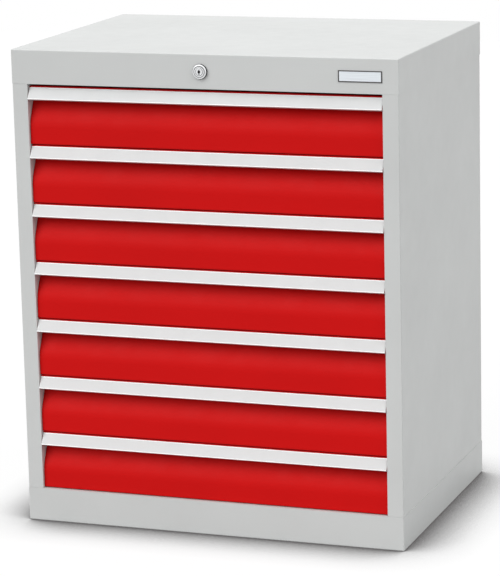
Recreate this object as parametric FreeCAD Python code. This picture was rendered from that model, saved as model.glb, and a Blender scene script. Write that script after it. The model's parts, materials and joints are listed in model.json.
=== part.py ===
import FreeCAD, Part
import math
import os

# Workshop drawer cabinet: seven equal drawers on telescopic slides in a folded sheet steel body,
# with one cylinder lock that holds all the drawers through a lifting bar at the rear.
#
# Millimetres. +Z is up, the front faces -Y, and +X is on the right of a person facing the front.
# The origin is the bottom centre of the whole cabinet's bounding box, at floor level.
# "Depth" below means the distance behind the flat front of the body.

Vector = FreeCAD.Vector

# Driving dimensions of the body
width = 678.0
depth = 492.0
height = 820.0
band_height = 58.0
stile_width = 28.0
sheet = 1.5
corner_radius = 2.0
inner_corner_radius = 0.5
wall_set_in = 0.6
seam = 0.2
return_flange = 22.0

# Driving dimensions of the drawers, counted from the top
drawer_count = 7
drawer_pitch = 100.0
drawer_side_gap = 0.8
tray_width = 589.0
tray_rear_depth = 462.0
tray_bottom = 5.0
tray_top = 88.0
tray_sheet = 1.0

# Driving dimensions of the front fittings
lock_proud = 6.0
rivet_head = 1.0

front_y = -(depth + rivet_head - lock_proud) / 2
opening_half = width / 2 - stile_width
wall_outer_x = width / 2 - wall_set_in
opening_bottom = band_height
opening_top = height - band_height

# Telescopic slides: every member is a folded C section, 45 mm high when nested
slide_front_depth = 28.0
slide_length = 434.0
slide_thickness = 12.7
slide_centre = 40.0
slide_sheet = 1.2
slide_bend = 0.8
slide_back_x = tray_width / 2 + slide_thickness

# Uprights that carry the slides, punched on a 25 mm grid
upright_width = 30.0
upright_depths = (40.0, 430.0)
grid_pitch = 25.0
grid_first = 73.0
grid_count = 28
screw_hole_radius = 2.6

# Central lock
lock_z = 791.0
lock_body_radius = 9.5
lock_hole_clearance = 0.2
plug_radius = 6.0
plug_clearance = 0.05
spindle_radius = 4.0
spindle_front_depth = 20.0
spindle_rear_depth = 466.0
cam_thickness = 4.0
crank_radius = 8.0
crank_rest_angle = math.radians(-45)
crank_pin_radius = 2.5
bar_front_depth = 478.0
bar_thickness = 2.0
bar_half_width = 15.0
bar_bottom = 90.0
bar_top = 802.0


def y_at(behind_front):
    return front_y + behind_front


def box(low, high):
    size = [b - a for a, b in zip(low, high)]
    return Part.makeBox(size[0], size[1], size[2], Vector(*low))


def rounded(solid, radius, wanted):
    return solid.makeFillet(radius, [edge for edge in solid.Edges if wanted(edge)])


def mirrored(shape):
    return shape.mirror(Vector(0, 0, 0), Vector(1, 0, 0))


def cylinder_along_y(x, z, radius, front_depth, rear_depth):
    length = rear_depth - front_depth
    return Part.makeCylinder(radius, length, Vector(x, y_at(front_depth), z), Vector(0, 1, 0))


def is_vertical(edge):
    ends = [vertex.Point for vertex in edge.Vertexes]
    return abs(ends[0].z - ends[1].z) > 1


# Folded sheet: a path of points is one face of the sheet, and the metal lies on its right.

def direction(start, end):
    run = math.dist(start, end)
    return ((end[0] - start[0]) / run, (end[1] - start[1]) / run)


def offset_to_right(points, distance):
    """The path moved to its right, with mitred corners."""
    normals = []
    for start, end in zip(points, points[1:]):
        ahead = direction(start, end)
        normals.append((ahead[1], -ahead[0]))
    first = [normals[0]] + normals
    second = normals + [normals[-1]]
    moved = []
    for point, a, b in zip(points, first, second):
        reach = distance / (1 + a[0] * b[0] + a[1] * b[1])
        moved.append((point[0] + (a[0] + b[0]) * reach, point[1] + (a[1] + b[1]) * reach))
    return moved


def bent_path(points, radii, place):
    """Edges through the points, with a tangent arc at each inner point."""
    edges = []
    start = points[0]
    for before, corner, after, radius in zip(points, points[1:], points[2:], radii):
        into = direction(before, corner)
        away = direction(corner, after)
        half_turn = math.acos(into[0] * away[0] + into[1] * away[1]) / 2
        reach = radius * math.tan(half_turn)
        inward = direction(into, away)
        sag = radius / math.cos(half_turn) - radius
        arc_start = (corner[0] - into[0] * reach, corner[1] - into[1] * reach)
        arc_middle = (corner[0] + inward[0] * sag, corner[1] + inward[1] * sag)
        arc_end = (corner[0] + away[0] * reach, corner[1] + away[1] * reach)
        edges.append(Part.makeLine(place(start), place(arc_start)))
        edges.append(Part.Arc(place(arc_start), place(arc_middle), place(arc_end)).toShape())
        start = arc_end
    edges.append(Part.makeLine(place(start), place(points[-1])))
    return edges


def sheet_section(points, thickness, bends, place):
    """The cross-section of a folded sheet; bends are the inside radii of its folds."""
    far = offset_to_right(points, thickness)
    near_radii = []
    far_radii = []
    for before, corner, after, bend in zip(points, points[1:], points[2:], bends):
        into = direction(before, corner)
        away = direction(corner, after)
        turns_right = into[0] * away[1] - into[1] * away[0] < 0
        near_radii.append(bend + thickness if turns_right else bend)
        far_radii.append(bend if turns_right else bend + thickness)
    edges = bent_path(points, near_radii, place)
    edges.append(Part.makeLine(place(points[-1]), place(far[-1])))
    edges += bent_path(far[::-1], far_radii[::-1], place)
    edges.append(Part.makeLine(place(far[0]), place(points[0])))
    return Part.Face(Part.Wire(edges))


# Body

def hollow_pan(low, high, window_low, window_high, wanted):
    """A folded pan: a thin box, rounded along the wanted edges, with a window in one face."""
    outer = rounded(box(low, high), corner_radius, wanted)
    inner_low = [value + sheet for value in low]
    inner_high = [value - sheet for value in high]
    inner = rounded(box(inner_low, inner_high), inner_corner_radius, wanted)
    return outer.cut(inner).cut(box(window_low, window_high))


def make_base_plinth():
    """The floor of the body with four skirts down to the ground and inward foot flanges."""
    half = width / 2
    low = (-half, y_at(0), 0)
    high = (half, y_at(depth), band_height)
    window_low = (-half + return_flange, y_at(return_flange), -1)
    window_high = (half - return_flange, y_at(depth - return_flange), 2 * sheet)
    return hollow_pan(low, high, window_low, window_high,
                      lambda edge: edge.CenterOfMass.z < band_height - 1)


def make_top_cover():
    """The top with its front band and skirts, flanges that sit on the walls, and a notch for the lock bar."""
    half = width / 2
    low = (-half, y_at(0), opening_top)
    high = (half, y_at(depth), height)
    window_low = (-opening_half, y_at(return_flange), opening_top - 1)
    window_high = (opening_half, y_at(depth - return_flange), opening_top + 2 * sheet)
    cover = hollow_pan(low, high, window_low, window_high,
                       lambda edge: edge.CenterOfMass.z > opening_top + 1)
    lock_hole_radius = lock_body_radius + lock_hole_clearance
    lock_hole = cylinder_along_y(0, lock_z, lock_hole_radius, -1, sheet + 1)
    notch_half = bar_half_width + 3
    notch = box((-notch_half, y_at(depth - return_flange - 1), opening_top - 1),
                (notch_half, y_at(bar_front_depth + bar_thickness + 3), opening_top + sheet + 1))
    return cover.cut(lock_hole).cut(notch)


rivet_radius = 1.6
rivet_head_radius = 3.3
rivet_clearance = 0.1
rivet_x = 325.0
rivet_heights = [110.0 + 150.0 * step for step in range(5)]


def rivet_holes():
    radius = rivet_radius + rivet_clearance
    return [cylinder_along_y(side * rivet_x, z, radius, depth - 10, depth + 1)
            for side in (-1, 1) for z in rivet_heights]


def make_right_side_wall():
    """A side sheet folded in at the front as the stile and its return, and at the other edges."""
    stile_return = 24.0
    rear = depth - sheet
    low = (opening_half, y_at(0), opening_bottom + seam)
    high = (wall_outer_x, y_at(rear), opening_top - seam)
    window_low = (opening_half - 1, y_at(stile_return), low[2] + sheet)
    window_high = (opening_half + 2 * sheet, y_at(rear - sheet), high[2] - sheet)
    wall = hollow_pan(low, high, window_low, window_high,
                      lambda edge: is_vertical(edge) and edge.CenterOfMass.x > opening_half + 5)
    return wall.cut(Part.makeCompound(rivet_holes()))


def make_back_panel():
    margin = 2.0
    half = width / 2 - margin
    bottom = opening_bottom + 2 * seam
    top = opening_top - 2 * seam
    panel = box((-half, y_at(depth - sheet), bottom), (half, y_at(depth), top))
    return panel.cut(Part.makeCompound(rivet_holes()))


def make_uprights():
    """Four punched channels between the side walls and the slides."""
    wall_inner_x = wall_outer_x - sheet - 0.1
    bottom = opening_bottom + seam + sheet + 0.1
    top = opening_top - seam - sheet - 0.1
    channels = []
    for front_depth in upright_depths:
        front = y_at(front_depth)
        rear = front + upright_width
        path = [(wall_inner_x, rear), (slide_back_x, rear), (slide_back_x, front), (wall_inner_x, front)]
        path.reverse()
        section = sheet_section(path, sheet, [1.0, 1.0], lambda point: Vector(point[0], point[1], bottom))
        channel = section.extrude(Vector(0, 0, top - bottom))
        holes = []
        for step in range(grid_count):
            centre = Vector(slide_back_x - 1, front + upright_width / 2, grid_first + grid_pitch * step)
            holes.append(Part.makeCylinder(screw_hole_radius, 4, centre, Vector(1, 0, 0)))
        channel = channel.cut(Part.makeCompound(holes))
        channels += [channel, mirrored(channel)]
    return Part.makeCompound(channels)


# Drawer slides

def slide_member(path, start_depth, length, floor):
    """A pair of C sections, left and right; the path runs in distance from the tray and height."""
    def place(point):
        return Vector(tray_width / 2 + point[0], y_at(start_depth), floor + slide_centre + point[1])
    section = sheet_section(path, slide_sheet, [slide_bend, slide_bend], place)
    right = section.extrude(Vector(0, length, 0))
    return [mirrored(right), right]


def outer_member(floor):
    half = 22.5
    open_edge = 3.2
    path = [(open_edge, half), (slide_thickness, half), (slide_thickness, -half), (open_edge, -half)]
    return slide_member(path, slide_front_depth, slide_length, floor)


def middle_member(floor):
    half = 17.0
    open_edge = 2.4
    web = 9.8
    path = [(open_edge, half), (web, half), (web, -half), (open_edge, -half)]
    return slide_member(path, slide_front_depth + 2, slide_length - 4, floor)


def inner_member(floor):
    half = 12.0
    open_edge = 6.2
    path = [(open_edge, -half), (0, -half), (0, half), (open_edge, half)]
    return slide_member(path, slide_front_depth, slide_length - 4, floor)


def screw_places(floor):
    return [Vector(slide_back_x - slide_sheet, y_at(front_depth + upright_width / 2), floor + slide_centre)
            for front_depth in upright_depths]


def make_outer_slides(floors):
    members = []
    for floor in floors:
        holes = [Part.makeCylinder(screw_hole_radius, 4, place - Vector(1, 0, 0), Vector(1, 0, 0))
                 for place in screw_places(floor)]
        left, right = outer_member(floor)
        right = right.cut(Part.makeCompound(holes))
        members += [mirrored(right), right]
    return Part.makeCompound(members)


def slide_screw(place):
    """A low pan head inside the slide and a shank through the slide and the upright."""
    head = Part.makeCylinder(4.5, 1.3, place, Vector(-1, 0, 0))
    head = head.makeFillet(0.6, [edge for edge in head.Edges if edge.CenterOfMass.x < place.x - 1])
    shank = Part.makeCylinder(2.5, 10, place, Vector(1, 0, 0))
    return head.fuse(shank).removeSplitter()


def back_rivet(x, z):
    head = cylinder_along_y(x, z, rivet_head_radius, depth, depth + rivet_head)
    head = head.makeFillet(0.7, [edge for edge in head.Edges if edge.CenterOfMass.y > y_at(depth) + 0.9])
    shank = cylinder_along_y(x, z, rivet_radius, depth - 4.5, depth)
    return head.fuse(shank).removeSplitter()


def make_fasteners(floors):
    fasteners = []
    for floor in floors:
        for place in screw_places(floor):
            screw = slide_screw(place)
            fasteners += [screw, mirrored(screw)]
    for side in (-1, 1):
        fasteners += [back_rivet(side * rivet_x, z) for z in rivet_heights]
    return Part.makeCompound(fasteners)


# Drawers: heights are above the floor of the drawer's own 100 mm space

front_sheet = 1.5
front_low_depth = 5.0
front_high_depth = 22.0
front_bottom = 1.0
slope_start = 40.0
slope_end = 74.0
front_flange_height = 98.0
front_flange_depth = 7.6
bottom_flange_depth = 16.0


def make_front(floor):
    """The coloured front: upright below, then sloping back under the grip to make room for fingers."""
    half = opening_half - drawer_side_gap
    path = [
        (bottom_flange_depth, front_bottom),
        (front_low_depth, front_bottom),
        (front_low_depth, slope_start),
        (front_high_depth, slope_end),
        (front_high_depth, front_flange_height),
        (front_flange_depth, front_flange_height),
    ]
    bends = [0.8, 45.0, 8.0, 0.8]

    def place(point):
        return Vector(-half, y_at(point[0]), floor + point[1])

    skin = sheet_section(path, front_sheet, bends, place).extrude(Vector(2 * half, 0, 0))
    clear = front_sheet + 0.5
    end_outline = [
        (front_low_depth + clear / 2, front_bottom + clear / 2),
        (front_low_depth + clear / 2, slope_start),
        (front_high_depth, slope_end + clear / 2),
        (front_high_depth, front_bottom + clear / 2),
    ]
    corners = [place(point) for point in end_outline]
    end = Part.Face(Part.makePolygon(corners + corners[:1])).extrude(Vector(front_sheet, 0, 0))
    far_end = end.copy()
    far_end.translate(Vector(2 * half - front_sheet, 0, 0))
    return skin.fuse([end, far_end]).removeSplitter()


grip_foot = (-3.2, 79.0)
grip_head = (6.3, 97.8)
grip_lip = 1.4
label_recess = 0.8
grip_plate = 2.4
grip_strip = 1.5
grip_hook = 5.0


def on_grip(along, inward):
    """A point of the grip's section: distance up its slanted face, and distance behind the face."""
    up = direction(grip_foot, grip_head)
    return (grip_foot[0] + up[0] * along + up[1] * inward, grip_foot[1] + up[1] * along - up[0] * inward)


def prism_across(outline, half, floor):
    corners = [Vector(-half, y_at(point[0]), floor + point[1]) for point in outline]
    return Part.Face(Part.makePolygon(corners + corners[:1])).extrude(Vector(2 * half, 0, 0))


def make_grip(floor):
    """The grip rail: a slanted extrusion with a label channel and a lower return, on a flat hanging strip."""
    face = math.dist(grip_foot, grip_head)
    half = opening_half - drawer_side_gap - 0.2
    strip_rear = front_high_depth - 1.0
    strip_bottom = grip_head[1] - grip_strip
    up = direction(grip_foot, grip_head)

    def behind(height):
        """The point of the plate's rear face at a height."""
        return on_grip((height - grip_foot[1] + up[0] * grip_plate) / up[1], grip_plate)

    plate_outline = [
        grip_foot,
        on_grip(grip_lip, 0),
        on_grip(grip_lip, label_recess),
        on_grip(face - grip_lip, label_recess),
        on_grip(face - grip_lip, 0),
        grip_head,
        behind(grip_head[1]),
        on_grip(grip_lip + 0.2, grip_plate),
        on_grip(grip_lip + 0.2, grip_hook),
        on_grip(0, grip_hook),
    ]
    strip_outline = [
        behind(grip_head[1]),
        (strip_rear, grip_head[1]),
        (strip_rear, strip_bottom),
        behind(strip_bottom),
    ]
    return Part.makeCompound([
        prism_across(plate_outline, half, floor),
        prism_across(strip_outline, half, floor),
    ])


def make_label(floor):
    """The thin label insert that lies in the grip's channel."""
    face = math.dist(grip_foot, grip_head)
    low = grip_lip + 0.1
    high = face - grip_lip - 0.1
    outline = [
        on_grip(low, 0.1),
        on_grip(high, 0.1),
        on_grip(high, label_recess - 0.05),
        on_grip(low, label_recess - 0.05),
    ]
    return prism_across(outline, opening_half - drawer_side_gap - 1.0, floor)


catch_half_width = 20.0
catch_sheet = 1.5
catch_rear_depth = 474.0
catch_lip_bottom = 76.0


def make_tray(floor):
    """The open drawer box, and the catch riveted to its rear that the lock bar hooks behind."""
    front = y_at(front_high_depth + front_sheet + 0.2)
    rear = y_at(tray_rear_depth)
    half = tray_width / 2
    low = (-half, front, floor + tray_bottom)
    high = (half, rear, floor + tray_top)
    outer = rounded(box(low, high), 2.5, lambda edge: edge.CenterOfMass.z < high[2] - 1)
    inner_low = [value + tray_sheet for value in low]
    inner_high = (half - tray_sheet, rear - tray_sheet, high[2] + 10)
    inner = rounded(box(inner_low, inner_high), 1.5, lambda edge: edge.CenterOfMass.z < high[2] + 9)
    tray = outer.cut(inner)
    lip_top = floor + tray_top - catch_sheet
    arm = box((-catch_half_width, rear, lip_top), (catch_half_width, y_at(catch_rear_depth), high[2]))
    lip = box((-catch_half_width, y_at(catch_rear_depth - catch_sheet), floor + catch_lip_bottom),
              (catch_half_width, y_at(catch_rear_depth), lip_top))
    return Part.makeCompound([tray, arm, lip])


# Central lock

def make_lock_housing():
    """The fixed round housing: a thick rosette with a turned groove, and a body through the band."""
    rosette = cylinder_along_y(0, lock_z, 12.0, -5.0, 0)
    rosette = rosette.makeFillet(1.2, [edge for edge in rosette.Edges if edge.CenterOfMass.y < y_at(-4.9)])
    groove = cylinder_along_y(0, lock_z, 9.6, -6.0, -4.4)
    collar = cylinder_along_y(0, lock_z, 8.6, -5.4, -4.4)
    body = cylinder_along_y(0, lock_z, lock_body_radius, 0, 18)
    bore = cylinder_along_y(0, lock_z, plug_radius + plug_clearance, -7, 19)
    return rosette.cut(groove).fuse([collar, body]).removeSplitter().cut(bore)


def make_lock_nut():
    """The hexagonal nut behind the band that clamps the housing."""
    thickness = 5.0
    across_corners_radius = 14.0
    corners = []
    for step in range(7):
        angle = math.radians(60 * step)
        corners.append(Vector(across_corners_radius * math.cos(angle), y_at(sheet),
                              lock_z + across_corners_radius * math.sin(angle)))
    nut = Part.Face(Part.makePolygon(corners)).extrude(Vector(0, thickness, 0))
    return nut.cut(cylinder_along_y(0, lock_z, lock_body_radius + 0.05, 0, 20))


def make_lock_cylinder():
    """The turning plug with its keyway, upright when the drawers are free."""
    plug = cylinder_along_y(0, lock_z, plug_radius, -lock_proud, spindle_front_depth)
    plug = plug.makeFillet(0.5, [edge for edge in plug.Edges if edge.CenterOfMass.y < y_at(-5.9)])
    mouth = cylinder_along_y(0, lock_z, 2.4, -7, 12)
    slot = box((-0.8, y_at(-7), lock_z - 4.8), (0.8, y_at(12), lock_z + 4.0))
    return plug.cut(mouth.fuse(slot))


def make_spindle():
    """The long rod over the top drawer that carries the key's turn to the rear."""
    return cylinder_along_y(0, lock_z, spindle_radius, spindle_front_depth, spindle_rear_depth)


def crank_pin_place():
    return (crank_radius * math.cos(crank_rest_angle), lock_z + crank_radius * math.sin(crank_rest_angle))


def make_cam():
    """A disc on the spindle's end with an eccentric pin that lifts the bar."""
    disc = cylinder_along_y(0, lock_z, 13.0, spindle_rear_depth, spindle_rear_depth + cam_thickness)
    x, z = crank_pin_place()
    pin_rear = bar_front_depth + bar_thickness + 1.5
    pin = cylinder_along_y(x, z, crank_pin_radius, spindle_rear_depth + cam_thickness, pin_rear)
    return disc.fuse(pin).removeSplitter()


def make_spindle_bracket():
    """An angle under the cover that carries the spindle's rear end."""
    ceiling = height - sheet
    plate = box((-15, y_at(440), lock_z - 12), (15, y_at(442), ceiling))
    foot = box((-15, y_at(442), ceiling - 2), (15, y_at(460), ceiling))
    bore = cylinder_along_y(0, lock_z, spindle_radius + 0.08, 430, 450)
    return plate.fuse(foot).removeSplitter().cut(bore)


hook_arm_bottom = 61.5
hook_prong_top = 73.5
hook_half_width = 8.0


def make_lock_bar(floors):
    """The lifting bar: a flat strip with one hook for each drawer and a slot for the crank pin."""
    rear = y_at(bar_front_depth + bar_thickness)
    strip = box((-bar_half_width, y_at(bar_front_depth), bar_bottom), (bar_half_width, rear, bar_top))
    x, z = crank_pin_place()
    play = 0.6
    slot_low = (x - crank_pin_radius - play, y_at(bar_front_depth - 1), z - crank_pin_radius - play)
    slot_high = (crank_radius + crank_pin_radius + play, rear + 1, z + crank_pin_radius + play)
    pieces = [strip.cut(box(slot_low, slot_high))]
    for floor in floors:
        arm_top = floor + hook_arm_bottom + bar_thickness
        pieces.append(box((-hook_half_width, y_at(468), floor + hook_arm_bottom),
                          (hook_half_width, y_at(bar_front_depth), arm_top)))
        pieces.append(box((-hook_half_width, y_at(468), arm_top),
                          (hook_half_width, y_at(470), floor + hook_prong_top)))
    return Part.makeCompound(pieces)


guide_heights = (160.0, 660.0)


def make_bar_guides():
    """Two moulded guides on the back panel that the lock bar slides in."""
    guides = []
    for bottom in guide_heights:
        block = box((-22, y_at(475), bottom), (22, y_at(depth - sheet), bottom + 20))
        channel = box((-15.5, y_at(477.5), bottom - 1), (15.5, y_at(480.5), bottom + 21))
        mouth = box((-9, y_at(474), bottom - 1), (9, y_at(478), bottom + 21))
        guides.append(block.cut(channel).cut(mouth))
    return Part.makeCompound(guides)


# Name plate

def make_name_plate():
    """A blank plate with a raised rim, in line with the right edge of the opening."""
    length = 74.0
    plate_height = 19.0
    rim = 1.3
    low = (opening_half - length, y_at(-1.2), 790.0 - plate_height / 2)
    high = (opening_half, y_at(0), 790.0 + plate_height / 2)
    plate = box(low, high)
    face_low = (low[0] + rim, y_at(-2), low[2] + rim)
    face_high = (high[0] - rim, y_at(-0.7), high[2] - rim)
    return plate.cut(box(face_low, face_high))


# Assembly

def build():
    floors = [opening_bottom + drawer_pitch * (drawer_count - number) for number in range(1, drawer_count + 1)]
    right_wall = make_right_side_wall()
    nodes = {
        "base_plinth": make_base_plinth(),
        "left_side_wall": mirrored(right_wall),
        "right_side_wall": right_wall,
        "back_panel": make_back_panel(),
        "top_cover": make_top_cover(),
        "slide_uprights": make_uprights(),
        "outer_slides": make_outer_slides(floors),
        "body_fasteners": make_fasteners(floors),
        "lock_housing": make_lock_housing(),
        "lock_nut": make_lock_nut(),
        "lock_cylinder": make_lock_cylinder(),
        "lock_spindle": make_spindle(),
        "lock_cam": make_cam(),
        "spindle_bracket": make_spindle_bracket(),
        "lock_bar": make_lock_bar(floors),
        "lock_bar_guides": make_bar_guides(),
        "name_plate": make_name_plate(),
    }
    for number, floor in enumerate(floors, start=1):
        nodes[f"drawer_{number}_tray"] = make_tray(floor)
        nodes[f"drawer_{number}_front"] = make_front(floor)
        nodes[f"drawer_{number}_grip"] = make_grip(floor)
        nodes[f"drawer_{number}_label"] = make_label(floor)
        nodes[f"drawer_{number}_inner_slides"] = Part.makeCompound(inner_member(floor))
        nodes[f"drawer_{number}_middle_slides"] = Part.makeCompound(middle_member(floor))
    return nodes


os.makedirs("parts", exist_ok=True)
for node_name, shape in build().items():
    shape.exportStep(f"parts/{node_name}.step")
    print(node_name, len(shape.Solids), round(shape.Volume), shape.isValid())
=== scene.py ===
import json
import math

import bmesh
import bpy
from mathutils import Matrix, Vector


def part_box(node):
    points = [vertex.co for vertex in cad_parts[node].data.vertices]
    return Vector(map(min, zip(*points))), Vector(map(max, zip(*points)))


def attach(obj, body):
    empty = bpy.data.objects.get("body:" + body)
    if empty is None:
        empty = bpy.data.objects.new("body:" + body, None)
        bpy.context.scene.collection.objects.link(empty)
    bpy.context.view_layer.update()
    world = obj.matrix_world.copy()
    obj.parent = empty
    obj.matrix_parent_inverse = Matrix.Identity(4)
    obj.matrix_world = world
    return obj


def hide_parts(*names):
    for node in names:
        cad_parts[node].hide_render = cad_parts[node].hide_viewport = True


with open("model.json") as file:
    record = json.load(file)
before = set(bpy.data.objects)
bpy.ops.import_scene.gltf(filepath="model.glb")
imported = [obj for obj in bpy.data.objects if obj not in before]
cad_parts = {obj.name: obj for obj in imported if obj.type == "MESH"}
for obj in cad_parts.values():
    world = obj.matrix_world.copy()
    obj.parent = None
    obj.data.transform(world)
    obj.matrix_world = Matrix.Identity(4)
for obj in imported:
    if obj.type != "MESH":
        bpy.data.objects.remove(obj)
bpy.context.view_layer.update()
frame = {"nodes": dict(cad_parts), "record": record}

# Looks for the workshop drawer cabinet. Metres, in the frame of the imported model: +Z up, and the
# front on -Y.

scene = bpy.context.scene

DRAWERS = range(1, 8)
COVER_LOW, COVER_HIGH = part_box("top_cover")
FRONT_Y = COVER_LOW.y
TOP_Z = COVER_HIGH.z


# Camera: a long lens to the right of the front, a little above

def add_camera():
    azimuth = math.radians(20.11)
    elevation = math.radians(12.42)
    roll = math.radians(1.35)
    distance = 4.632
    aside = 0.0727
    above = 0.0182
    level_right = Vector((math.cos(azimuth), math.sin(azimuth), 0))
    ahead = Vector((-math.sin(azimuth) * math.cos(elevation),
                    math.cos(azimuth) * math.cos(elevation),
                    -math.sin(elevation)))
    level_up = level_right.cross(ahead)
    right = level_right * math.cos(roll) - level_up * math.sin(roll)
    up = level_right * math.sin(roll) + level_up * math.cos(roll)
    place = Vector((0, FRONT_Y, TOP_Z / 2)) + right * aside + up * above - ahead * distance
    data = bpy.data.cameras.new("camera")
    data.lens = 173.98
    data.sensor_width = 36.0
    camera = bpy.data.objects.new("camera", data)
    turn = Matrix((right, up, -ahead)).transposed().to_4x4()
    camera.matrix_world = Matrix.Translation(place) @ turn
    scene.collection.objects.link(camera)
    scene.camera = camera


# Light and floor: white to the eye and in reflections, but sending only part of that light back
# as even light, so that the soft lamps shape the object.

ROOM_STRENGTH = 0.2
BACKDROP_STRENGTH = 1.0
FLOOR_HALF = 6.0
FLOOR_DROP = 0.0005
FLOOR_GLOW = 0.92
FLOOR_BOUNCE = (0.4, 0.4, 0.4, 1)
# Painted contact shadow: the floor's colour darkens towards SHADE_COLOUR where the cabinet stands
# within SHADE_REACH.
SHADE_REACH = 0.13
SHADE_COLOUR = (0.13, 0.125, 0.125)
WHITE = (1, 1, 1)


def mix_by_ray(tree, seen, bounced, output):
    """The bright shader for the eye and reflections, the dim one for evenly spread light."""
    path = tree.nodes.new("ShaderNodeLightPath")
    mix = tree.nodes.new("ShaderNodeMixShader")
    tree.links.new(path.outputs["Is Diffuse Ray"], mix.inputs["Fac"])
    tree.links.new(seen, mix.inputs[1])
    tree.links.new(bounced, mix.inputs[2])
    tree.links.new(mix.outputs["Shader"], output)


def add_world():
    world = bpy.data.worlds.new("studio")
    scene.world = world
    world.use_nodes = True
    tree = world.node_tree
    room = tree.nodes["Background"]
    room.inputs["Color"].default_value = (*WHITE, 1)
    room.inputs["Strength"].default_value = ROOM_STRENGTH
    backdrop = tree.nodes.new("ShaderNodeBackground")
    backdrop.inputs["Color"].default_value = (*WHITE, 1)
    backdrop.inputs["Strength"].default_value = BACKDROP_STRENGTH
    mix_by_ray(tree, backdrop.outputs["Background"], room.outputs["Background"],
               tree.nodes["World Output"].inputs["Surface"])


def add_sun(name, source, spread, strength):
    """A distant soft light from the direction source; spread is its width in degrees."""
    data = bpy.data.lights.new(name, "SUN")
    data.angle = math.radians(spread)
    data.energy = strength
    lamp = bpy.data.objects.new(name, data)
    lamp.rotation_euler = (-Vector(source)).to_track_quat("-Z", "Y").to_euler()
    scene.collection.objects.link(lamp)


def add_light():
    add_world()
    add_sun("overhead", (0.2, -0.05, 1), 90.0, 1.95)
    add_sun("front_left", (-0.5, -0.7, 0.5), 50.0, 1.9)
    add_sun("right_fill", (1, -0.15, 0.35), 60.0, 0.8)
    scene.view_settings.view_transform = "Standard"


def add_floor():
    half = FLOOR_HALF
    corners = [(-half, -half, 0), (half, -half, 0), (half, half, 0), (-half, half, 0)]
    mesh = bpy.data.meshes.new("floor")
    mesh.from_pydata(corners, [], [(0, 1, 2, 3)])
    floor = bpy.data.objects.new("floor", mesh)
    floor.location.z = -FLOOR_DROP
    scene.collection.objects.link(floor)
    material = bpy.data.materials.new("floor")
    material.use_nodes = True
    material.cycles.emission_sampling = "NONE"
    tree = material.node_tree
    tree.nodes.remove(tree.nodes["Principled BSDF"])
    # Painted contact shadow: an ambient occlusion test darkens the floor's seen and glowing colour
    # round the cabinet's foot.
    shade = tree.nodes.new("ShaderNodeAmbientOcclusion")
    shade.inputs["Distance"].default_value = SHADE_REACH
    shade.samples = 8
    pale = ramp(tree, shade.outputs["AO"], SHADE_COLOUR, WHITE, start=0.5, end=0.93)
    lit = tree.nodes.new("ShaderNodeBsdfDiffuse")
    tree.links.new(pale, lit.inputs["Color"])
    glow = tree.nodes.new("ShaderNodeEmission")
    tree.links.new(pale, glow.inputs["Color"])
    seen = tree.nodes.new("ShaderNodeMixShader")
    seen.inputs["Fac"].default_value = FLOOR_GLOW
    tree.links.new(lit.outputs["BSDF"], seen.inputs[1])
    tree.links.new(glow.outputs["Emission"], seen.inputs[2])
    bounced = tree.nodes.new("ShaderNodeBsdfDiffuse")
    bounced.inputs["Color"].default_value = FLOOR_BOUNCE
    mix_by_ray(tree, seen.outputs["Shader"], bounced.outputs["BSDF"],
               tree.nodes["Material Output"].inputs["Surface"])
    mesh.materials.append(material)


# Materials

def new_material(name, roughness, metallic=0.0, specular=0.5):
    material = bpy.data.materials.new(name)
    material.use_nodes = True
    shader = material.node_tree.nodes["Principled BSDF"]
    shader.inputs["Roughness"].default_value = roughness
    shader.inputs["Metallic"].default_value = metallic
    shader.inputs["Specular IOR Level"].default_value = specular
    return material, shader


def noise(tree, scale, detail=2.0, stretch=(1, 1, 1)):
    """Noise in object space, with its size in metres given by 1 / scale."""
    place = tree.nodes.new("ShaderNodeTexCoord")
    mapping = tree.nodes.new("ShaderNodeMapping")
    mapping.inputs["Scale"].default_value = stretch
    texture = tree.nodes.new("ShaderNodeTexNoise")
    texture.inputs["Scale"].default_value = scale
    texture.inputs["Detail"].default_value = detail
    tree.links.new(place.outputs["Object"], mapping.inputs["Vector"])
    tree.links.new(mapping.outputs["Vector"], texture.inputs["Vector"])
    return texture.outputs["Fac"]


def ramp(tree, value, low, high, start=0.3, end=0.7):
    node = tree.nodes.new("ShaderNodeValToRGB")
    node.color_ramp.elements[0].position = start
    node.color_ramp.elements[1].position = end
    node.color_ramp.elements[0].color = (*low, 1)
    node.color_ramp.elements[1].color = (*high, 1)
    tree.links.new(value, node.inputs["Fac"])
    return node.outputs["Color"]


def span(tree, value, low, high):
    node = tree.nodes.new("ShaderNodeMapRange")
    node.inputs["From Min"].default_value = 0.3
    node.inputs["From Max"].default_value = 0.7
    node.inputs["To Min"].default_value = low
    node.inputs["To Max"].default_value = high
    tree.links.new(value, node.inputs["Value"])
    return node.outputs["Result"]


def bump(tree, shader, height, strength, distance):
    node = tree.nodes.new("ShaderNodeBump")
    node.inputs["Strength"].default_value = strength
    node.inputs["Distance"].default_value = distance
    tree.links.new(height, node.inputs["Height"])
    tree.links.new(node.outputs["Normal"], shader.inputs["Normal"])


def powder_coat(name, colour, specular, roughness=0.42):
    """Powder coat: faint clouding of the colour, and the fine orange peel of the baked finish."""
    material, shader = new_material(name, roughness, specular=specular)
    tree = material.node_tree
    dark = [value * 0.97 for value in colour]
    light = [min(value * 1.02, 1) for value in colour]
    tree.links.new(ramp(tree, noise(tree, 6.0, 3.0), dark, light), shader.inputs["Base Color"])
    tree.links.new(span(tree, noise(tree, 40.0, 4.0), roughness - 0.04, roughness + 0.05),
                   shader.inputs["Roughness"])
    bump(tree, shader, noise(tree, 900.0, 2.0), 0.12, 0.0004)
    return material


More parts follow.
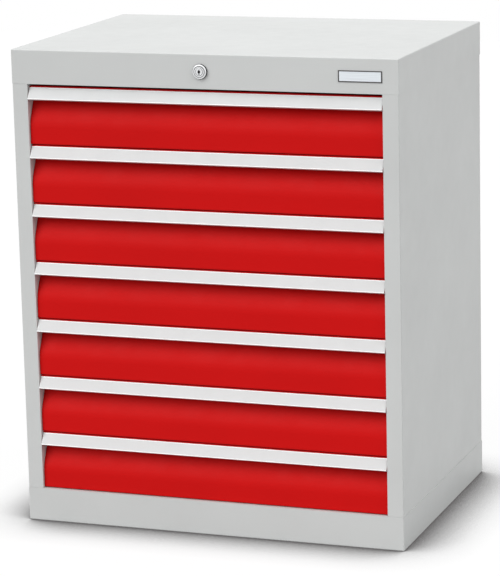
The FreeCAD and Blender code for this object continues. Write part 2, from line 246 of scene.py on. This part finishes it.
def brushed(name, colour, roughness, stretch, metallic=1.0):
    """Metal with fine lines along the direction whose stretch is small."""
    material, shader = new_material(name, roughness, metallic=metallic)
    tree = material.node_tree
    dark = [value * 0.9 for value in colour]
    lines = noise(tree, 700.0, 3.0, stretch)
    tree.links.new(ramp(tree, lines, dark, colour), shader.inputs["Base Color"])
    tree.links.new(span(tree, lines, roughness - 0.06, roughness + 0.08),
                   shader.inputs["Roughness"])
    bump(tree, shader, lines, 0.15, 0.0002)
    return material


def plastic(name, colour, roughness, grain, specular=0.4):
    material, shader = new_material(name, roughness, specular=specular)
    tree = material.node_tree
    dark = [value * 0.96 for value in colour]
    tree.links.new(ramp(tree, noise(tree, 25.0, 3.0), dark, colour), shader.inputs["Base Color"])
    bump(tree, shader, noise(tree, grain, 2.0), 0.15, 0.0002)
    return material


def make_materials():
    return {
        "body_paint": powder_coat("body_powder_coat", (0.60, 0.612, 0.606), 0.35),
        "front_paint": powder_coat("front_powder_coat", (0.60, 0.005, 0.005), 0.08, 0.5),
        "grip_aluminium": brushed("grip_anodised", (0.66, 0.67, 0.67), 0.38, (0.02, 1, 1), 0.25),
        "label_plastic": plastic("label_insert", (0.635, 0.643, 0.643), 0.45, 600.0),
        "zinc_steel": brushed("zinc_plated_steel", (0.62, 0.64, 0.66), 0.32, (1, 0.05, 1)),
        "lock_chrome": brushed("lock_satin_chrome", (0.70, 0.71, 0.72), 0.26, (1, 1, 1)),
        "plate_metal": brushed("name_plate_metal", (0.72, 0.76, 0.80), 0.4, (0.03, 1, 1), 0.4),
        "guide_plastic": plastic("guide_moulding", (0.03, 0.03, 0.033), 0.5, 900.0),
    }


def dress_cad_nodes(materials):
    for entry in frame["record"]["subparts"]:
        node = frame["nodes"][entry["node"]]
        node.data.materials.clear()
        node.data.materials.append(materials[entry["material_slot"]])


# Pieces

FOLD = "bevel_weight_edge"


def freed(name, mesh):
    """The mesh data of a bmesh, which is freed."""
    data = bpy.data.meshes.new(name)
    mesh.to_mesh(data)
    mesh.free()
    return data


def new_piece(name, mesh, material, body):
    piece = bpy.data.objects.new(name, mesh)
    mesh.materials.append(material)
    scene.collection.objects.link(piece)
    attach(piece, body)
    return piece


def add_fold(piece, radius, segments=3):
    """Rounds the mesh's marked folds."""
    modifier = piece.modifiers.new("fold", "BEVEL")
    modifier.limit_method = "WEIGHT"
    modifier.width = radius
    modifier.segments = segments


def add_thickness(piece, thickness):
    modifier = piece.modifiers.new("sheet", "SOLIDIFY")
    modifier.thickness = thickness
    modifier.offset = -1.0


def add_soft_edges(piece, radius, segments=2):
    modifier = piece.modifiers.new("edges", "BEVEL")
    modifier.limit_method = "ANGLE"
    modifier.angle_limit = math.radians(40)
    modifier.width = radius
    modifier.segments = segments


def middles(low, high, pitch):
    """Evenly pitched places between low and high, the same at both ends."""
    count = int((high - low) / pitch)
    margin = (high - low - pitch * (count - 1)) / 2
    return [low + margin + pitch * step for step in range(count)]


def slot_lines(low, high, pitch, slot_width):
    """Grid lines from low to high with a pair of lines at each slot; odd cells are the slots."""
    lines = [low]
    for middle in middles(low, high, pitch):
        lines += [middle - slot_width / 2, middle + slot_width / 2]
    return lines + [high]


class SheetMesh:
    """A single surface of quads that share their corners, for folding and thickening."""

    def __init__(self):
        self.mesh = bmesh.new()
        self.corners = {}

    def corner(self, point):
        key = tuple(round(value, 6) for value in point)
        if key not in self.corners:
            self.corners[key] = self.mesh.verts.new(key)
        return self.corners[key]

    def quad(self, *points):
        self.mesh.faces.new([self.corner(point) for point in points])

    def patch(self, at, u_lines, v_lines, is_hole=lambda column, row: False):
        """Quads between the grid lines; at(u, v) gives a point."""
        for column, (u0, u1) in enumerate(zip(u_lines, u_lines[1:])):
            for row, (v0, v1) in enumerate(zip(v_lines, v_lines[1:])):
                if not is_hole(column, row):
                    self.quad(at(u0, v0), at(u1, v0), at(u1, v1), at(u0, v1))

    def finish(self, name):
        """The mesh, with a fold marked wherever two quads meet at an angle."""
        weight = self.mesh.edges.layers.float.new(FOLD)
        self.mesh.normal_update()
        for edge in self.mesh.edges:
            if len(edge.link_faces) == 2 and edge.calc_face_angle() > 0.2:
                edge[weight] = 1.0
        return freed(name, self.mesh)


# Drawer trays: folded sheet with a hemmed rim and slotted walls for dividers

TRAY_SHEET = 0.001
TRAY_FOLD = 0.0018
TRAY_SLOT_PITCH = 0.025
TRAY_SLOT_WIDTH = 0.003
TRAY_SLOT_MARGIN = 0.018
HEM_WIDTH = 0.0024
HEM_DROP = 0.008
CATCH_SHEET = 0.0015
CATCH_FOLD = 0.002
CATCH_REACH = 0.012
CATCH_DROP = 0.012
CATCH_HALF = 0.020
CATCH_OVERLAP = 0.0005


def add_hem(sheet, outer, inner, top, flip):
    """The rim over a wall: a strip between two rows of (x, y) places, then its inner edge down."""
    bottom = top - HEM_DROP
    for a, b, c, d in zip(outer, outer[1:], inner[1:], inner):
        rim = [(*a, top), (*b, top), (*c, top), (*d, top)]
        drop = [(*d, top), (*c, top), (*c, bottom), (*d, bottom)]
        for points in (rim, drop):
            sheet.quad(*(points[::-1] if flip else points))


def tray_mesh(name, low, high):
    """The tray between its outer corners: floor, four walls with slots, and the rim turned in."""
    sheet = SheetMesh()
    x_lines = slot_lines(low.x, high.x, TRAY_SLOT_PITCH, TRAY_SLOT_WIDTH)
    y_lines = slot_lines(low.y, high.y, TRAY_SLOT_PITCH, TRAY_SLOT_WIDTH)
    z_lines = [low.z, low.z + TRAY_SLOT_MARGIN, high.z - TRAY_SLOT_MARGIN, high.z]

    def is_slot(column, row):
        return column % 2 == 1 and row == 1

    sheet.patch(lambda x, y: (x, y, low.z), x_lines, y_lines[::-1])
    sheet.patch(lambda x, z: (x, low.y, z), x_lines, z_lines, is_slot)
    sheet.patch(lambda x, z: (x, high.y, z), x_lines[::-1], z_lines, is_slot)
    sheet.patch(lambda y, z: (high.x, y, z), y_lines, z_lines, is_slot)
    sheet.patch(lambda y, z: (low.x, y, z), y_lines[::-1], z_lines, is_slot)

    inner_low = low + Vector((HEM_WIDTH, HEM_WIDTH, 0))
    inner_high = high - Vector((HEM_WIDTH, HEM_WIDTH, 0))
    inner_x = [inner_low.x] + x_lines[1:-1] + [inner_high.x]
    inner_y = [inner_low.y] + y_lines[1:-1] + [inner_high.y]
    for outer, inner, flip in ((low.y, inner_low.y, False), (high.y, inner_high.y, True)):
        add_hem(sheet, [(x, outer) for x in x_lines], [(x, inner) for x in inner_x], high.z, flip)
    for outer, inner, flip in ((low.x, inner_low.x, True), (high.x, inner_high.x, False)):
        add_hem(sheet, [(outer, y) for y in y_lines], [(inner, y) for y in inner_y], high.z, flip)
    return sheet.finish(name)


def catch_mesh(name, high):
    """The folded catch behind the tray that the lock bar hooks; high is the tray's rear top."""
    sheet = SheetMesh()
    rear = high.y + CATCH_REACH
    across = [-CATCH_HALF, CATCH_HALF]
    sheet.patch(lambda x, y: (x, y, high.z), across, [high.y - CATCH_OVERLAP, rear])
    sheet.patch(lambda x, drop: (x, rear, high.z - drop), across, [0, CATCH_DROP])
    return sheet.finish(name)


def add_trays(material):
    for number in DRAWERS:
        node = f"drawer_{number}_tray"
        body = f"drawer_{number}"
        low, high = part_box(node)
        high = high - Vector((0, CATCH_REACH, 0))
        tray = new_piece(f"drawer_{number}_slotted_tray", tray_mesh(node, low, high),
                         material, body)
        add_fold(tray, TRAY_FOLD)
        add_thickness(tray, TRAY_SHEET)
        catch = new_piece(f"drawer_{number}_lock_catch", catch_mesh(node + "_catch", high),
                          material, body)
        add_fold(catch, CATCH_FOLD)
        add_thickness(catch, CATCH_SHEET)
        for piece in (tray, catch):
            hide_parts(node)


# Ball rows of the telescopic slides. On each side, the inner races hold two rows in the front half
# of the middle member and the outer races two rows in its rear half, each row in its cage.

BALL_PITCH = 0.012
INNER_BALL = 0.00185
INNER_RACE_OFFSET = 0.0139
INNER_RACE_INSET = 0.0055
OUTER_BALL = 0.0021
OUTER_RACE_OFFSET = 0.01915
OUTER_RACE_INSET = 0.0042
ROW_MARGIN = 0.004
ROW_SHORTFALL = 0.200
CAGE_HALF_WIDTH = 0.0015
CAGE_HALF_HEIGHT = 0.0005


def add_ball(mesh, place, radius):
    made = bmesh.ops.create_icosphere(mesh, subdivisions=2, radius=radius,
                                      matrix=Matrix.Translation(place))
    for vert in made["verts"]:
        for face in vert.link_faces:
            face.smooth = True


def add_cage_strip(mesh, start, end):
    """A thin strip along the race, with its long edges chamfered."""
    wide, high = CAGE_HALF_WIDTH, CAGE_HALF_HEIGHT
    chamfer = high * 0.6
    outline = [(-wide, -high + chamfer), (-wide + chamfer, -high),
               (wide - chamfer, -high), (wide, -high + chamfer),
               (wide, high - chamfer), (wide - chamfer, high),
               (-wide + chamfer, high), (-wide, high - chamfer)]
    rings = [[mesh.verts.new((at.x + across, at.y, at.z + up)) for across, up in outline]
             for at in (start, end)]
    mesh.faces.new(rings[0])
    mesh.faces.new(rings[1][::-1])
    for this in range(len(outline)):
        after = (this + 1) % len(outline)
        mesh.faces.new([rings[0][this], rings[1][this], rings[1][after], rings[0][after]])


def add_row(balls, cages, x, z, start, end, radius):
    for y in middles(start, end, BALL_PITCH):
        add_ball(balls, (x, y, z), radius)
    add_cage_strip(cages, Vector((x, start, z)), Vector((x, end, z)))


def add_ball_rows(ball_material, cage_material):
    for number in DRAWERS:
        low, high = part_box(f"drawer_{number}_middle_slides")
        middle_z = (low.z + high.z) / 2
        front_half = (low.y + ROW_MARGIN, high.y - ROW_SHORTFALL)
        rear_half = (low.y + ROW_SHORTFALL, high.y - ROW_MARGIN)
        balls = bmesh.new()
        cages = bmesh.new()
        for offset, inset, radius, (start, end) in (
                (INNER_RACE_OFFSET, INNER_RACE_INSET, INNER_BALL, front_half),
                (OUTER_RACE_OFFSET, OUTER_RACE_INSET, OUTER_BALL, rear_half)):
            for side in (-1, 1):
                for z in (middle_z - offset, middle_z + offset):
                    add_row(balls, cages, side * (high.x - inset), z, start, end, radius)
        for name, mesh, material in (("balls", balls, ball_material),
                                     ("ball_cages", cages, cage_material)):
            bmesh.ops.recalc_face_normals(mesh, faces=mesh.faces)
            new_piece(f"drawer_{number}_{name}", freed(name, mesh), material,
                      f"middle_slides_{number}")


# Name plate: a blank pale face in a thin dark rim

PLATE_RIM_WIDTH = 0.0017
PLATE_RIM_ROUNDING = 0.0003
PLATE_FACE_DEPTH = 0.0005


def add_name_plate(rim_material, face_material):
    low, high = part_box("name_plate")
    depth = high.y - low.y
    x_lines = [low.x, low.x + PLATE_RIM_WIDTH, high.x - PLATE_RIM_WIDTH, high.x]
    z_lines = [low.z, low.z + PLATE_RIM_WIDTH, high.z - PLATE_RIM_WIDTH, high.z]
    rim_sheet = SheetMesh()
    rim_sheet.patch(lambda x, z: (x, low.y, z), x_lines, z_lines,
                    lambda column, row: column == 1 and row == 1)
    face_sheet = SheetMesh()
    face_sheet.patch(lambda x, z: (x, low.y + PLATE_FACE_DEPTH, z), x_lines[1:3], z_lines[1:3])
    rim = new_piece("name_plate_rim", rim_sheet.finish("name_plate_rim"),
                    rim_material, "cabinet")
    face = new_piece("name_plate_face", face_sheet.finish("name_plate_face"),
                     face_material, "cabinet")
    add_thickness(rim, depth)
    add_soft_edges(rim, PLATE_RIM_ROUNDING)
    add_thickness(face, depth - PLATE_FACE_DEPTH)
    for piece in (rim, face):
        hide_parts("name_plate")


# Lock: painted shade in dark rings on the rosette, and in a dark plate just inside the keyway

RING_STEPS = 64
ROSETTE_RADIUS = 0.0120
BAND_CLEARANCE = 0.00005
BAND_THICKNESS = 0.0005
BAND_CHAMFER = 0.0002
BAND_START = 0.0001
BAND_END = 0.0032
GROOVE_REACH = 0.00445
GROOVE_RING = (0.00865, 0.00955)
GROOVE_RING_HEIGHT = 0.0002
FACE_REACH = 0.00542
PLUG_RING = (0.00605, 0.0066)
PLUG_RING_HEIGHT = 0.0001

KEYWAY_SHADE_DEPTH = 0.0004
KEYWAY_SHADE_THICKNESS = 0.001
KEYWAY_SHADE_ROUNDING = 0.0001
KEYWAY_MOUTH_RADIUS = 0.00235
KEYWAY_SLOT_HALF = 0.00075
KEYWAY_SLOT_TOP = 0.00395
KEYWAY_SLOT_BOTTOM = -0.00475
KEYWAY_STEPS = 10


def add_turned_rings(name, sections, centre, material, body):
    """Rings turned about the lock's axis; each section is a list of (radius, y) corners."""
    mesh = bmesh.new()
    for section in sections:
        rings = []
        for step in range(RING_STEPS):
            angle = 2 * math.pi * step / RING_STEPS
            rings.append([mesh.verts.new((centre.x + radius * math.cos(angle), y,
                                          centre.z + radius * math.sin(angle)))
                          for radius, y in section])
        for this, after in zip(rings, rings[1:] + rings[:1]):
            for a in range(len(section)):
                b = (a + 1) % len(section)
                mesh.faces.new([this[a], this[b], after[b], after[a]])
    bmesh.ops.recalc_face_normals(mesh, faces=mesh.faces)
    new_piece(name, freed(name, mesh), material, body)


def flat_ring(radii, y, height):
    """The section of a thin ring on a face at y."""
    inner, outer = radii
    return [(inner, y), (inner, y - height), (outer, y - height), (outer, y)]


def add_painted_rosette_shade(material):
    """Painted shade: a dark sleeve on the rosette's side wall, and dark rings in its groove and
    round the plug.
    """
    low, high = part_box("lock_housing")
    centre = Vector(((low.x + high.x) / 2, low.y, (low.z + high.z) / 2))
    inner = ROSETTE_RADIUS + BAND_CLEARANCE
    outer = ROSETTE_RADIUS + BAND_THICKNESS
    start = FRONT_Y - BAND_START
    end = FRONT_Y - BAND_END
    side_shade = [(inner, start), (inner, end), (outer - BAND_CHAMFER, end), (outer, end + BAND_CHAMFER),
            (outer, start)]
    groove_shade = flat_ring(GROOVE_RING, FRONT_Y - GROOVE_REACH, GROOVE_RING_HEIGHT)
    plug_shade = flat_ring(PLUG_RING, FRONT_Y - FACE_REACH, PLUG_RING_HEIGHT)
    add_turned_rings("rosette_shade_rings", [side_shade, groove_shade, plug_shade], centre, material, "cabinet")


def keyway_outline():
    """The (x, z) corners of the keyway: a round mouth with a slot up and a longer one down."""
    side = math.asin(KEYWAY_SLOT_HALF / KEYWAY_MOUTH_RADIUS)
    outline = []
    for middle_angle, tip in ((0.0, KEYWAY_SLOT_TOP), (math.pi, KEYWAY_SLOT_BOTTOM)):
        across = KEYWAY_SLOT_HALF if tip > 0 else -KEYWAY_SLOT_HALF
        outline += [(-across, tip), (across, tip)]
        for step in range(KEYWAY_STEPS + 1):
            angle = middle_angle + side + (math.pi - 2 * side) * step / KEYWAY_STEPS
            outline.append((KEYWAY_MOUTH_RADIUS * math.sin(angle),
                            KEYWAY_MOUTH_RADIUS * math.cos(angle)))
    return outline


# Painted shade: a near-black plate just inside the keyway's mouth stands for the shade deep in the
# keyway.
def add_keyway_shade_plate(material):
    low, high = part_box("lock_cylinder")
    centre = Vector(((low.x + high.x) / 2, low.y + KEYWAY_SHADE_DEPTH, (low.z + high.z) / 2))
    mesh = bmesh.new()
    face = mesh.faces.new([mesh.verts.new((centre.x + x, centre.y, centre.z + z))
                           for x, z in keyway_outline()])
    mesh.normal_update()
    if face.normal.y > 0:
        bmesh.ops.reverse_faces(mesh, faces=mesh.faces)
    shade_piece = new_piece("keyway_shade_plate", freed("keyway_shade_plate", mesh), material, "lock_core")
    add_thickness(shade_piece, KEYWAY_SHADE_THICKNESS)
    add_soft_edges(shade_piece, KEYWAY_SHADE_ROUNDING)


add_camera()
add_light()
add_floor()
materials = make_materials()
dress_cad_nodes(materials)
add_trays(materials["body_paint"])
add_ball_rows(brushed("ball_steel", (0.75, 0.76, 0.78), 0.15, (1, 1, 1)),
              materials["zinc_steel"])
add_name_plate(plastic("name_plate_rim", (0.05, 0.045, 0.045), 0.4, 900.0),
               materials["plate_metal"])
# Painted shade on the rosette, in the guide moulding's black.
add_painted_rosette_shade(materials["guide_plastic"])
# The keyway plate's near-black plastic is painted shade for the keyway's depth.
add_keyway_shade_plate(plastic("keyway_painted_shade", (0.006, 0.006, 0.006), 0.8, 900.0, 0.1))
